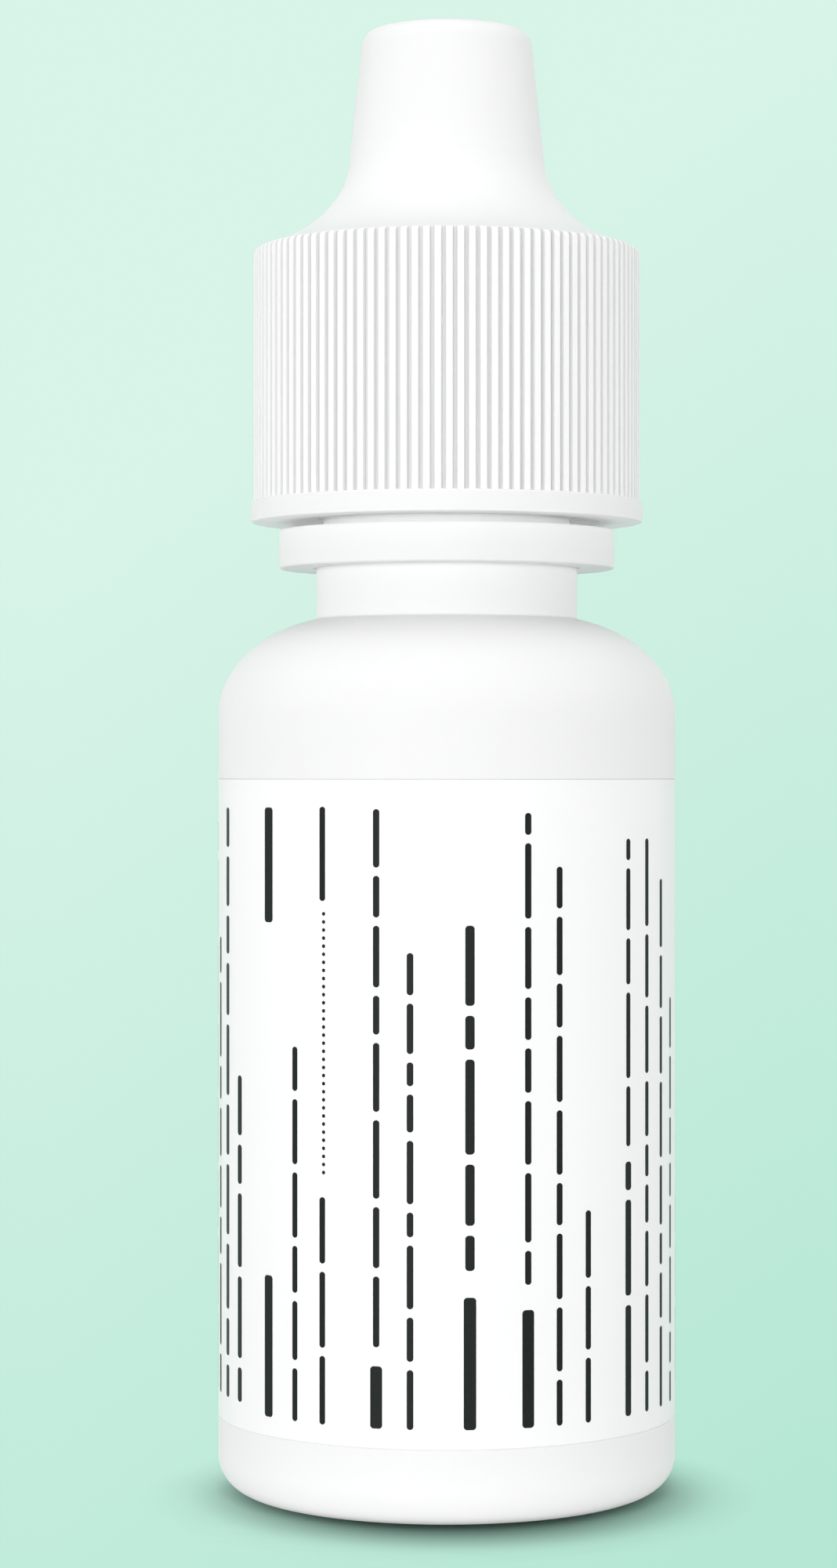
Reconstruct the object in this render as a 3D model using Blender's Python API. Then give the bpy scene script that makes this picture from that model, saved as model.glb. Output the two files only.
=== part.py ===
import math

import bmesh
import bpy
import mathutils
import numpy as np

# Screw-cap dropper bottle of the 15 mL class, standing on its base.
# Metres, +Z up, origin at the centre of the standing ring.
mm = 0.001

# Bottle body
body_diameter = 25.0 * mm
body_wall = 0.9 * mm
floor_thickness = 1.0 * mm
base_corner_radius = 2.0 * mm
standing_ring_width = 1.3 * mm
recess_depth = 0.8 * mm
recess_slope_width = 1.1 * mm
shoulder_start_height = 42.2 * mm
shoulder_rise = 5.4 * mm
shoulder_end_share = 0.25

# Label and the shallow panel that it lies in
label_foot_margin = 2.2 * mm
label_head_margin = 3.5 * mm
label_thickness = 0.1 * mm
label_bond_gap = 0.05 * mm
label_seam_gap = 1.0 * mm
panel_margin = 0.15 * mm
panel_edge_slope = 0.1 * mm

# Neck, from the shoulder up to the mouth
neck_diameter = 14.24 * mm
neck_exposed_length = 2.75 * mm
neck_step = 0.39 * mm
finish_length = 12.9 * mm
neck_wall = 1.43 * mm
mouth_chamfer = 0.25 * mm
bead_height = 0.8 * mm
bead_reach = 0.45 * mm
bead_offset = 0.25 * mm

# Thread, right handed, one start
thread_lead = 3.0 * mm
thread_height = 0.95 * mm
thread_root_share = 0.56
thread_crest_share = 0.26
thread_embed = 0.3 * mm
thread_foot_gap = 0.45 * mm
thread_top_margin = 1.55 * mm
cap_thread_share = 0.8
thread_end_share = 0.3
thread_run_in_share = 0.12

# Clearances
seat_gap = 0.25 * mm
plug_gap = 0.12 * mm
collar_gap = 0.17 * mm
thread_radial_gap = 0.28 * mm
thread_flank_gap = 0.15 * mm
pin_gap = 0.15 * mm

# Collar: the loose ring under the cap
collar_wall = 1.88 * mm
collar_height = 2.09 * mm
collar_skirt = 0.7 * mm
collar_lip = 0.7 * mm
collar_relief = 0.45 * mm
collar_edge = 0.12 * mm
rim_gap = 0.44 * mm

# Dropper tip
flange_inset = 0.13 * mm
flange_thickness = 1.2 * mm
flange_edge = 0.2 * mm
plug_length = 6.2 * mm
plug_wall = 0.9 * mm
plug_lead_in = 0.5 * mm
nozzle_length = 12.0 * mm
nozzle_root_diameter = 7.8 * mm
nozzle_tip_diameter = 4.8 * mm
nozzle_tip_edge = 0.45 * mm
nozzle_fillet = 0.8 * mm
nozzle_wall = 1.0 * mm
orifice_diameter = 0.7 * mm
orifice_length = 1.0 * mm
exit_lip = 0.65 * mm
exit_depth = 1.45 * mm
well_neck_diameter = 2.4 * mm
well_taper_length = 1.2 * mm

# Cap
skirt_wall = 2.59 * mm
rim_reach = 0.15 * mm
rim_height = 1.15 * mm
rim_edge = 0.12 * mm
rib_depth = 0.24 * mm
rib_count = 110
rib_crest_share = 0.58
rib_floor_share = 0.22
rib_head_rise = 0.37 * mm
shoulder_above_flange = 2.62 * mm
cap_shoulder_edge = 0.3 * mm
flare_rise = 5.54 * mm
flare_end_share = 0.38
cone_draft = 0.75 * mm
cap_top_radius = 0.9 * mm
cap_wall = 1.2 * mm
nozzle_headroom = 1.41 * mm
nozzle_side_room = 0.96 * mm
pin_entry_share = 0.62
bore_lead_in = 0.4 * mm

# Facets round each piece
body_facets = 48
collar_facets = 48
tip_facets = 32
cap_fine_facets = rib_count
cap_coarse_facets = rib_count // 2
thread_steps_per_turn = 24

# Radii and heights that follow from the sizes above
body_radius = body_diameter / 2
neck_radius = neck_diameter / 2
finish_radius = neck_radius - neck_step
thread_crest_radius = finish_radius + thread_height
neck_bore_radius = finish_radius - neck_wall

shoulder_reach = (body_radius - neck_radius) / (1 - shoulder_end_share)
shoulder_centre_radius = body_radius - shoulder_reach
neck_joint_angle = math.degrees(math.acos(shoulder_end_share))
neck_joint_height = shoulder_start_height + shoulder_rise * math.sin(math.radians(neck_joint_angle))

collar_base = neck_joint_height + neck_exposed_length
collar_top = collar_base + collar_height
collar_lip_base = collar_base + collar_skirt
seat_height = collar_lip_base - seat_gap
mouth_height = seat_height + finish_length
cap_base = collar_top + rim_gap
bead_base = cap_base + bead_offset

flange_base = mouth_height + seat_gap
flange_top = flange_base + flange_thickness
nozzle_top = flange_top + nozzle_length
cap_ceiling = nozzle_top + nozzle_headroom
cap_top = cap_ceiling + cap_wall
rib_base = cap_base + rim_height
cap_shoulder_level = flange_top + shoulder_above_flange
rib_top = cap_shoulder_level - rib_head_rise

label_base = base_corner_radius + label_foot_margin
label_top = shoulder_start_height - label_head_margin

cap_bore_radius = thread_crest_radius + thread_radial_gap
cap_thread_radius = finish_radius + thread_radial_gap
thread_overlap = thread_crest_radius - cap_thread_radius
rib_radius = cap_bore_radius + skirt_wall
rim_radius = rib_radius + rim_reach
cap_shoulder_radius = rib_radius - cap_shoulder_edge
exit_radius = nozzle_tip_diameter / 2 - nozzle_tip_edge - exit_lip


def thread_half_width(height_share):
    """Half a ridge's width at a share of its height, from root to crest."""
    return thread_lead * (thread_root_share + (thread_crest_share - thread_root_share) * height_share) / 2


# Both ridges have one section, so they sit closest all along their overlapping flanks.
flank_pitch = thread_half_width(1) + thread_half_width(1 - thread_overlap / thread_height)
cap_thread_base = bead_base + bead_height + thread_foot_gap + thread_half_width(0)
neck_thread_base = cap_thread_base + flank_pitch + thread_flank_gap
neck_thread_turns = (mouth_height - thread_top_margin - neck_thread_base) / thread_lead
cap_thread_turns = neck_thread_turns * cap_thread_share


def arc(centre, reach, rise, start, stop, steps):
    """Points (radius, height) on an elliptical arc, angles in degrees from the outward direction."""
    angles = np.radians(np.linspace(start, stop, steps + 1))
    return [(centre[0] + reach * math.cos(a), centre[1] + rise * math.sin(a)) for a in angles]


def ring(mesh, radius, height, count):
    """A level ring of vertices, or the one vertex of a ring with no radius."""
    if radius == 0:
        return [mesh.verts.new((0, 0, height))]
    angles = np.linspace(0, 2 * math.pi, count, endpoint=False)
    return [mesh.verts.new((radius * math.cos(a), radius * math.sin(a), height)) for a in angles]


def join_rings(mesh, first, second):
    """Faces between two rings, where the larger count is a whole multiple of the smaller."""
    fine, coarse = (first, second) if len(first) >= len(second) else (second, first)
    ratio = len(fine) // len(coarse)
    if len(coarse) == 1:
        for i in range(len(fine)):
            mesh.faces.new((fine[i], fine[(i + 1) % len(fine)], coarse[0]))
        return
    for i in range(len(coarse)):
        start = i * ratio
        after = coarse[(i + 1) % len(coarse)]
        if ratio == 1:
            mesh.faces.new((fine[start], fine[(start + 1) % len(fine)], after, coarse[i]))
            continue
        for step in range(ratio):
            corner = coarse[i] if step < ratio / 2 else after
            ends = (fine[start + step], fine[(start + step + 1) % len(fine)])
            mesh.faces.new((*ends, corner))
            if step + 1 == math.ceil(ratio / 2):
                mesh.faces.new((ends[1], after, coarse[i]))


def stack_rings(mesh, first, path):
    """Faces from a ring through further rings, given as (radius, height, facets)."""
    before = first
    for radius, height, facets in path:
        after = ring(mesh, radius, height, facets)
        join_rings(mesh, before, after)
        before = after


def object_from(mesh, name):
    """A smooth shaded object whose faces point outwards."""
    bmesh.ops.recalc_face_normals(mesh, faces=mesh.faces)
    data = bpy.data.meshes.new(name)
    mesh.to_mesh(data)
    mesh.free()
    data.shade_smooth()
    data.set_sharp_from_angle(angle=math.radians(30))
    piece = bpy.data.objects.new(name, data)
    bpy.context.scene.collection.objects.link(piece)
    return piece


def turned(name, profile, facets, closed):
    """A solid turned about the vertical axis from (radius, height) points."""
    mesh = bmesh.new()
    rings = [ring(mesh, radius, height, facets) for radius, height in profile]
    for first, second in zip(rings, rings[1:]):
        join_rings(mesh, first, second)
    if closed:
        join_rings(mesh, rings[-1], rings[0])
    return object_from(mesh, name)


def thread_ridge(name, root_radius, reach, base_height, turns):
    """A helical ridge of trapezoid section; a negative reach stands inwards."""
    side = math.copysign(1, reach)
    buried_radius = root_radius - side * thread_embed
    steps = round(turns * thread_steps_per_turn)
    mesh = bmesh.new()
    sections = []
    for step in range(steps + 1):
        turn = turns * step / steps
        angle = 2 * math.pi * turn
        centre = base_height + thread_lead * turn
        nearest_end = min(turn, turns - turn) / thread_run_in_share
        share = min(1, thread_end_share + (1 - thread_end_share) * nearest_end)
        root = thread_half_width(0)
        crest = thread_half_width(share)
        outline = (
            (buried_radius, centre - root),
            (root_radius, centre - root),
            (root_radius + reach * share, centre - crest),
            (root_radius + reach * share, centre + crest),
            (root_radius, centre + root),
            (buried_radius, centre + root),
        )
        across = (math.cos(angle), math.sin(angle))
        sections.append([mesh.verts.new((r * across[0], r * across[1], z)) for r, z in outline])
    for first, second in zip(sections, sections[1:]):
        for i in range(len(first)):
            after = (i + 1) % len(first)
            mesh.faces.new((first[i], first[after], second[after], second[i]))
    mesh.faces.new(sections[0])
    mesh.faces.new(sections[-1])
    ridge = object_from(mesh, name)
    ridge.hide_render = True
    ridge.display_type = "WIRE"
    return ridge


def add_ridge(piece, ridge):
    """Unite a thread ridge with the piece that carries it."""
    union = piece.modifiers.new("thread", "BOOLEAN")
    union.operation = "UNION"
    union.object = ridge
    ridge.parent = piece
    ridge.matrix_parent_inverse = piece.matrix_world.inverted()


def set_origin(piece, height):
    """Put the piece's origin on the vertical axis at this height, with its shape where it was."""
    piece.data.transform(mathutils.Matrix.Translation((0, 0, -height)))
    piece.location.z = height
    bpy.context.view_layer.update()


def finish(piece, colour, roughness):
    """Give the piece its own moulded plastic or paper."""
    material = bpy.data.materials.new(piece.name + "_finish")
    material.use_nodes = True
    shader = material.node_tree.nodes["Principled BSDF"]
    shader.inputs["Base Color"].default_value = (*colour, 1)
    shader.inputs["Roughness"].default_value = roughness
    shader.inputs["Metallic"].default_value = 0
    material.diffuse_color = (*colour, 1)
    piece.data.materials.append(material)


def bottle():
    """Body, shoulder and neck in one blown wall, open at the mouth."""
    ring_outer = body_radius - base_corner_radius
    ring_inner = ring_outer - standing_ring_width
    panel_base = label_base - panel_margin
    panel_top = label_top + panel_margin
    panel_radius = body_radius - label_thickness - label_bond_gap
    bead_radius = finish_radius + bead_reach
    bead_slope = bead_height / 3

    profile = [(0, recess_depth), (ring_inner - recess_slope_width, recess_depth), (ring_inner, 0)]
    profile += arc((ring_outer, base_corner_radius), base_corner_radius, base_corner_radius, -90, 0, 5)
    profile += [
        (body_radius, panel_base - panel_edge_slope),
        (panel_radius, panel_base),
        (panel_radius, panel_top),
        (body_radius, panel_top + panel_edge_slope),
    ]
    shoulder_centre = (shoulder_centre_radius, shoulder_start_height)
    profile += arc(shoulder_centre, shoulder_reach, shoulder_rise, 0, neck_joint_angle, 8)
    profile += [
        (neck_radius, seat_height),
        (finish_radius, seat_height),
        (finish_radius, bead_base),
        (bead_radius, bead_base + bead_slope),
        (bead_radius, bead_base + 2 * bead_slope),
        (finish_radius, bead_base + bead_height),
        (finish_radius, mouth_height - mouth_chamfer),
        (finish_radius - mouth_chamfer, mouth_height),
        (neck_bore_radius, mouth_height),
    ]
    # The inside follows the outside, one wall thickness in.
    inner_radius = panel_radius - body_wall
    inner_reach = inner_radius - shoulder_centre_radius
    inner_rise = shoulder_rise - body_wall
    bore_joint_share = (neck_bore_radius - shoulder_centre_radius) / inner_reach
    bore_joint_angle = math.degrees(math.acos(bore_joint_share))
    profile += arc(shoulder_centre, inner_reach, inner_rise, bore_joint_angle, 0, 6)
    inner_floor = recess_depth + floor_thickness
    inner_corner = base_corner_radius
    corner_centre = (inner_radius - inner_corner, inner_floor + inner_corner)
    profile += arc(corner_centre, inner_corner, inner_corner, 0, -90, 3)
    profile.append((0, inner_floor))

    piece = turned("bottle", profile, body_facets, closed=False)
    ridge = thread_ridge("neck_thread", finish_radius, thread_height, neck_thread_base, neck_thread_turns)
    add_ridge(piece, ridge)
    finish(piece, (0.93, 0.93, 0.93), 0.4)
    return piece


def label():
    """A thin sheet wrapped round the body, its two ends a seam's width apart at the back."""
    outer = body_radius
    inner = body_radius - label_thickness
    seam_half_angle = label_seam_gap / body_diameter
    back = math.pi / 2
    facet = 2 * math.pi / body_facets
    corners = [back + facet * i for i in range(body_facets + 1)]
    angles = [back + seam_half_angle]
    angles += [a for a in corners if back + seam_half_angle < a < back + 2 * math.pi - seam_half_angle]
    angles.append(back + 2 * math.pi - seam_half_angle)

    mesh = bmesh.new()
    sections = []
    for a in angles:
        outline = ((inner, label_base), (outer, label_base), (outer, label_top), (inner, label_top))
        sections.append([mesh.verts.new((r * math.cos(a), r * math.sin(a), z)) for r, z in outline])
    for first, second in zip(sections, sections[1:]):
        for i in range(len(first)):
            after = (i + 1) % len(first)
            mesh.faces.new((first[i], first[after], second[after], second[i]))
    mesh.faces.new(sections[0])
    mesh.faces.new(sections[-1])
    piece = object_from(mesh, "label")
    finish(piece, (0.97, 0.97, 0.97), 0.5)
    return piece


def collar():
    """The loose ring left on the neck, whose lip rests on the neck's step under the bead."""
    skirt_bore = neck_radius + collar_gap
    outer = skirt_bore + collar_wall
    lip_bore = finish_radius + collar_gap
    lip_top = collar_lip_base + collar_lip
    profile = [
        (skirt_bore, collar_base),
        (outer - collar_edge, collar_base),
        (outer, collar_base + collar_edge),
        (outer, collar_top - collar_edge),
        (outer - collar_edge, collar_top),
        (lip_bore + collar_relief, collar_top),
        (lip_bore, lip_top),
        (lip_bore, collar_lip_base),
        (skirt_bore, collar_lip_base),
    ]
    piece = turned("collar", profile, collar_facets, closed=True)
    set_origin(piece, collar_base)
    finish(piece, (0.92, 0.92, 0.92), 0.35)
    return piece


def dropper_tip():
    """The plug-in nozzle: flange on the mouth, plug in the neck, well, metering hole and flared exit."""
    plug_radius = neck_bore_radius - plug_gap
    well_radius = plug_radius - plug_wall
    plug_base = flange_base - plug_length
    tip_radius = nozzle_tip_diameter / 2
    root_radius = nozzle_root_diameter / 2
    exit_base = nozzle_top - exit_depth
    orifice_base = exit_base - orifice_length
    orifice_radius = orifice_diameter / 2
    flange_radius = finish_radius - flange_inset
    well_top = orifice_base - well_taper_length
    profile = [
        (well_radius, plug_base),
        (plug_radius - plug_lead_in / 2, plug_base),
        (plug_radius, plug_base + plug_lead_in),
        (plug_radius, flange_base),
        (flange_radius, flange_base),
        (flange_radius, flange_top - flange_edge),
        (flange_radius - flange_edge, flange_top),
        (root_radius + nozzle_fillet, flange_top),
    ]
    profile += arc((root_radius + nozzle_fillet, flange_top + nozzle_fillet), nozzle_fillet, nozzle_fillet,
                   -120, -180, 2)
    edge_centre = (tip_radius - nozzle_tip_edge, nozzle_top - nozzle_tip_edge)
    profile += arc(edge_centre, nozzle_tip_edge, nozzle_tip_edge, 0, 90, 3)
    profile += [
        (exit_radius, nozzle_top),
        (orifice_radius, exit_base),
        (orifice_radius, orifice_base),
        (well_neck_diameter / 2, well_top),
        (root_radius - nozzle_wall, flange_top),
        (well_radius, flange_base),
    ]
    piece = turned("dropper_tip", profile, tip_facets, closed=True)
    finish(piece, (0.9, 0.9, 0.88), 0.45)
    return piece


def ribbed_band(mesh):
    """The grip ribs: returns the rings of rib corners at the foot and where the ribs run out above."""
    floor_radius = rib_radius - rib_depth
    pitch = 2 * math.pi / rib_count
    slope_share = (1 - rib_crest_share - rib_floor_share) / 2
    # Four corners for each rib: the crest's two, then the groove floor's two.
    corner_share = (
        -rib_crest_share / 2,
        rib_crest_share / 2,
        rib_crest_share / 2 + slope_share,
        rib_crest_share / 2 + slope_share + rib_floor_share,
    )
    ribbed = (rib_radius, rib_radius, floor_radius, floor_radius)
    level = (cap_shoulder_radius,) * len(ribbed)
    rings = []
    for height, corner_radius in ((rib_base, ribbed), (rib_top, ribbed), (cap_shoulder_level, level)):
        corners = []
        for rib in range(rib_count):
            for share, radius in zip(corner_share, corner_radius):
                a = pitch * (rib + share)
                corners.append(mesh.verts.new((radius * math.cos(a), radius * math.sin(a), height)))
        rings.append(corners)
    for lower, upper in zip(rings, rings[1:]):
        join_rings(mesh, lower, upper)
    return rings[0], rings[-1]


def cap():
    """Ribbed skirt, flared shoulder and nozzle-shaped top, hollow, with the seal pin in its ceiling."""
    mesh = bmesh.new()
    rib_ring, shoulder_ring = ribbed_band(mesh)

    # Outside, from the shoulder to the middle of the top
    cone_top = nozzle_tip_diameter / 2 + nozzle_side_room + cap_wall
    cone_root = cone_top + cone_draft
    flare_reach = (cap_shoulder_radius - cone_root) / (1 - flare_end_share)
    meet_angle = math.acos(flare_end_share)
    flare_centre = (cone_root + flare_reach, cap_shoulder_level + flare_rise * math.sin(meet_angle))
    flare = arc(flare_centre, flare_reach, flare_rise, 180 + math.degrees(meet_angle), 180, 7)
    edge_centre = (cone_top - cap_top_radius, cap_top - cap_top_radius)
    edge = arc(edge_centre, cap_top_radius, cap_top_radius, 0, 90, 4)
    outside = [(r, z, cap_fine_facets) for r, z in flare[1:]]
    outside += [(r, z, cap_coarse_facets) for r, z in edge]
    outside.append((0, cap_top, cap_coarse_facets))

    # Rim and inside, from the foot of the ribs to the middle of the ceiling
    inner_flare_reach = flare_reach + cap_wall
    inner_flare_rise = flare_rise + cap_wall
    bore_share = (flare_centre[0] - cap_bore_radius) / inner_flare_reach
    bore_angle = math.degrees(math.acos(bore_share))
    inner_flare = arc(flare_centre, inner_flare_reach, inner_flare_rise, 180 + bore_angle, 180, 5)
    pin_radius = exit_radius - pin_gap
    pin_end_radius = pin_radius - pin_entry_share * (exit_radius - orifice_diameter / 2)
    pin_end = nozzle_top - pin_entry_share * exit_depth
    inside = [
        (rim_radius - rim_edge, rib_base, cap_fine_facets),
        (rim_radius, rib_base - rim_edge, cap_fine_facets),
        (rim_radius, cap_base + rim_edge, cap_fine_facets),
        (rim_radius - rim_edge, cap_base, cap_fine_facets),
        (cap_bore_radius + bore_lead_in, cap_base, cap_coarse_facets),
        (cap_bore_radius, cap_base + bore_lead_in, cap_coarse_facets),
    ]
    inside += [(r, z, cap_coarse_facets) for r, z in inner_flare]
    inside += [
        (cone_top - cap_wall, cap_ceiling, cap_coarse_facets),
        (pin_radius, cap_ceiling, cap_coarse_facets),
        (pin_radius, nozzle_top, cap_coarse_facets),
        (pin_end_radius, pin_end, cap_coarse_facets),
        (0, pin_end, cap_coarse_facets),
    ]
    stack_rings(mesh, shoulder_ring, outside)
    stack_rings(mesh, rib_ring, inside)

    piece = object_from(mesh, "cap")
    # The cap's ridge runs under the neck's, a flank gap below it.
    ridge = thread_ridge("cap_thread", cap_bore_radius, -thread_height, cap_thread_base, cap_thread_turns)
    set_origin(piece, cap_base)
    add_ridge(piece, ridge)
    finish(piece, (0.92, 0.92, 0.92), 0.35)
    return piece


for old in list(bpy.data.objects):
    bpy.data.objects.remove(old)

stand = bpy.data.objects.new("eye_drop_bottle", None)
bpy.context.scene.collection.objects.link(stand)
for build in (bottle, label, collar, dropper_tip, cap):
    build().parent = stand
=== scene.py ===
import math

import bpy
import numpy as np
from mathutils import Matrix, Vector


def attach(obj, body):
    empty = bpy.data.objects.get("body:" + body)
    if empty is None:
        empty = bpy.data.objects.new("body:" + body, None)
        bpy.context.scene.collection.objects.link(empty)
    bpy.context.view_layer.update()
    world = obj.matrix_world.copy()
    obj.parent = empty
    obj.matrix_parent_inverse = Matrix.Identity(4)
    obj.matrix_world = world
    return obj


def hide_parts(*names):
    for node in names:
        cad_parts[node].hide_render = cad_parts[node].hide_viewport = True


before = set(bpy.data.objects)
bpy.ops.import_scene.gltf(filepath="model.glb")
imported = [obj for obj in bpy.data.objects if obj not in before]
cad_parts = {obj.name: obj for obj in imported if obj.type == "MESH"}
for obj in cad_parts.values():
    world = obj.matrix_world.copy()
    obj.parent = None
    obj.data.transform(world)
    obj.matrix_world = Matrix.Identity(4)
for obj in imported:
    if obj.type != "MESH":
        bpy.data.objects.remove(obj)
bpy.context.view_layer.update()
print("frame loaded:", ", ".join(sorted(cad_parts)))

# Every size below is in millimetres, and is turned into metres where it meets Blender.
metresPerMillimetre = 0.001


def roundedPath(corners, steps=5):
    # Straight runs between corners (radius, height, setback). Near a corner P the path follows
    # (1-s)^2 A + 2s(1-s) P + s^2 B, where A and B lie on the two runs, one setback from P.
    points = np.array([corner[:2] for corner in corners], float)
    setbacks = [corner[2] for corner in corners]
    share = np.linspace(0, 1, steps + 1)[:, None]
    parts = [points[:1]]
    for i in range(1, len(points) - 1):
        corner = points[i]
        if setbacks[i] == 0:
            parts.append(corner[None])
            continue
        back = points[i - 1] - corner
        ahead = points[i + 1] - corner
        start = corner + back / np.linalg.norm(back) * setbacks[i]
        end = corner + ahead / np.linalg.norm(ahead) * setbacks[i]
        parts.append((1 - share) ** 2 * start + 2 * share * (1 - share) * corner + share ** 2 * end)
    parts.append(points[-1:])
    return np.concatenate(parts)


def ellipsePath(centre, reach, rise, fromDegrees, toDegrees, steps):
    # point(t) = centre + (reach cos t, rise sin t)
    turn = np.radians(np.linspace(fromDegrees, toDegrees, steps + 1))
    return np.stack([centre[0] + reach * np.cos(turn), centre[1] + rise * np.sin(turn)], axis=1)


def joinedPath(*parts, nearest=1e-6):
    # The parts in a row, without the points that come twice.
    path = np.concatenate([np.asarray(part, float) for part in parts])
    keep = np.concatenate([[True], np.linalg.norm(np.diff(path, axis=0), axis=1) > nearest])
    return path[keep]


def refinedPath(path, longest, hold=0.06):
    # The same line with more points on it: one a hold from each end of a long run, so that its face
    # shades flat, and none further apart than longest.
    path = np.asarray(path, float)
    parts = []
    for start, end in zip(path, path[1:]):
        length = np.linalg.norm(end - start)
        shares = np.array([0.0])
        if length > 4 * hold:
            count = max(2, math.ceil((length - 2 * hold) / longest) + 1)
            shares = np.concatenate([[0], np.linspace(hold, length - hold, count) / length])
        parts.append(start + shares[:, None] * (end - start))
    return joinedPath(*parts, path[-1:])


def evenAngles(count):
    # As many angles as columns, evenly spaced all the way round.
    return np.linspace(0, 2 * math.pi, count, endpoint=False)


def turnedPoints(path, angles, outwards=None):
    # point(row, column) = (r cos a, r sin a, z), with r and z from the path's row, and r moved by
    # outwards(a, z).
    radius = path[:, :1] + 0 * angles
    height = path[:, 1:] + 0 * angles
    if outwards is not None:
        radius = radius + outwards(angles + 0 * height, height)
    return np.stack([radius * np.cos(angles), radius * np.sin(angles), height], axis=-1)


def gridFaces(rows, columns, start=0, rowsClose=False):
    # Four-sided faces between neighbouring rows, whose columns run all the way round.
    index = start + np.arange(rows * columns).reshape(rows, columns)
    lower = index if rowsClose else index[:-1]
    upper = np.roll(index, -1, axis=0) if rowsClose else index[1:]
    corners = [lower, np.roll(lower, -1, axis=1), np.roll(upper, -1, axis=1), upper]
    return np.stack(corners, axis=-1).reshape(-1, 4)


def poleFaces(pole, ring, poleIsAbove):
    # Triangles from one point to every edge of a ring.
    after = np.roll(ring, -1)
    edge = [ring, after] if poleIsAbove else [after, ring]
    return np.stack([*edge, np.full_like(ring, pole)], axis=-1)


def stepFaces(coarse, fine):
    # Five triangles for each edge of a ring that has a quarter of the next ring's points.
    after = np.roll(coarse, -1)
    f0, f1, f2, f3 = fine.reshape(-1, 4).T
    f4 = np.roll(f0, -1)
    triangles = [(coarse, f1, f0), (coarse, f2, f1), (coarse, after, f2),
                 (after, f3, f2), (after, f4, f3)]
    return np.concatenate([np.stack(triangle, axis=-1) for triangle in triangles])


def meshFrom(name, points, *faceSets, sharpDegrees=32, shares=None):
    # Shares are one number for each point, which the finish reads by its name.
    points = np.asarray(points, float).reshape(-1, 3) * metresPerMillimetre
    sizes = np.concatenate([np.full(len(faces), faces.shape[1]) for faces in faceSets])
    corners = np.concatenate([faces.ravel() for faces in faceSets])
    mesh = bpy.data.meshes.new(name)
    mesh.vertices.add(len(points))
    mesh.vertices.foreach_set("co", points.astype(np.float32).ravel())
    mesh.loops.add(len(corners))
    mesh.loops.foreach_set("vertex_index", corners.astype(np.int32))
    mesh.polygons.add(len(sizes))
    mesh.polygons.foreach_set("loop_start", (np.cumsum(sizes) - sizes).astype(np.int32))
    mesh.polygons.foreach_set("loop_total", sizes.astype(np.int32))
    for title, values in (shares or {}).items():
        attribute = mesh.attributes.new(title, "FLOAT", "POINT")
        attribute.data.foreach_set("value", values.astype(np.float32))
    mesh.update(calc_edges=True)
    mesh.shade_smooth()
    mesh.set_sharp_from_angle(angle=math.radians(sharpDegrees))
    piece = bpy.data.objects.new(name, mesh)
    bpy.context.scene.collection.objects.link(piece)
    mesh.calc_loop_triangles()
    print(name, "made,", len(mesh.loop_triangles), "triangles")
    return piece


def place(piece, body, node):
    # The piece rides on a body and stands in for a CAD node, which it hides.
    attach(piece, body)
    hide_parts(node)


def softStep(x):
    # 3x^2 - 2x^3 between 0 and 1
    x = np.clip(x, 0, 1)
    return x * x * (3 - 2 * x)


def threadHeight(angle, height, thread):
    # A ridge round a helix that climbs one lead a turn: full height within half a crest of the
    # helix, none past half a root, and softened over the run-in at both ends.
    turn = angle / (2 * math.pi)
    climbed = (height - thread["base"]) / thread["lead"]
    position = turn + np.round(climbed - turn)
    away = np.abs(climbed - position) * thread["lead"]
    flank = softStep((thread["halfRoot"] - away) / (thread["halfRoot"] - thread["halfCrest"]))
    nearestEnd = np.minimum(position, thread["turns"] - position)
    return thread["height"] * flank * softStep(nearestEnd / thread["runIn"])


# The bottle: body, shoulder and threaded neck in one wall.
bottleSizes = {
    "radius": 12.48,            # the parting ridge stands out to the full 12.5
    "gateRadius": 1.1,
    "gateDepth": 0.15,
    "recess": 0.8,
    "recessSlope": 1.1,
    "ringInner": 9.2,
    "corner": 2.0,
    "panelRadius": 12.37,
    "panelBase": 4.19,
    "panelTop": 38.71,
    "panelEdge": 0.035,
    "shoulderStart": 42.2,
    "shoulderCentre": 5.327,
    "shoulderReach": 7.153,
    "shoulderRise": 5.4,
    "shoulderEnd": 74.02,       # degrees up its ellipse, where the corner to the neck begins
    "neckJoint": 47.429,
    "neckRadius": 7.12,
    "seat": 50.629,
    "finishRadius": 6.73,
    "beadBase": 52.959,
    "beadRadius": 7.18,
    "beadHeight": 0.8,
    "aboveBead": 0.3,           # where the thread's close rows begin
    "mouth": 63.529,
    "mouthEdge": 0.25,
    "boreRadius": 5.3,
    "innerRadius": 11.45,
    "innerFloor": 1.8,
    "wall": 0.9,
    "partingWidth": 0.16,
    "partingHeight": 0.02,
    "partingBase": 1.0,
    # The neck is painted whiter from just above the seat to just above the bead, against the shade
    # in the gap under the cap.
    "coveredFrom": 0.3,         # above the seat
    "coveredTo": 0.6,           # above the bead
    "coveredFade": 1.0,
    "columns": 240,
    "ridgeColumns": 9,
    "ridgeReach": 1.5,          # how far these reach to each side, in parting widths
    "ridgeClear": 0.024,        # radians beside the ridge that have no other columns
    "rowSpacing": 3.0,          # the furthest that two rows stand apart
    "threadRowSpacing": 0.11,
    "thread": {
        "base": 56.296,
        "lead": 3.0,
        "turns": 1.894,
        "height": 0.95,
        "halfRoot": 0.84,
        "halfCrest": 0.39,
        "runIn": 0.12,
    },
}


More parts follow.
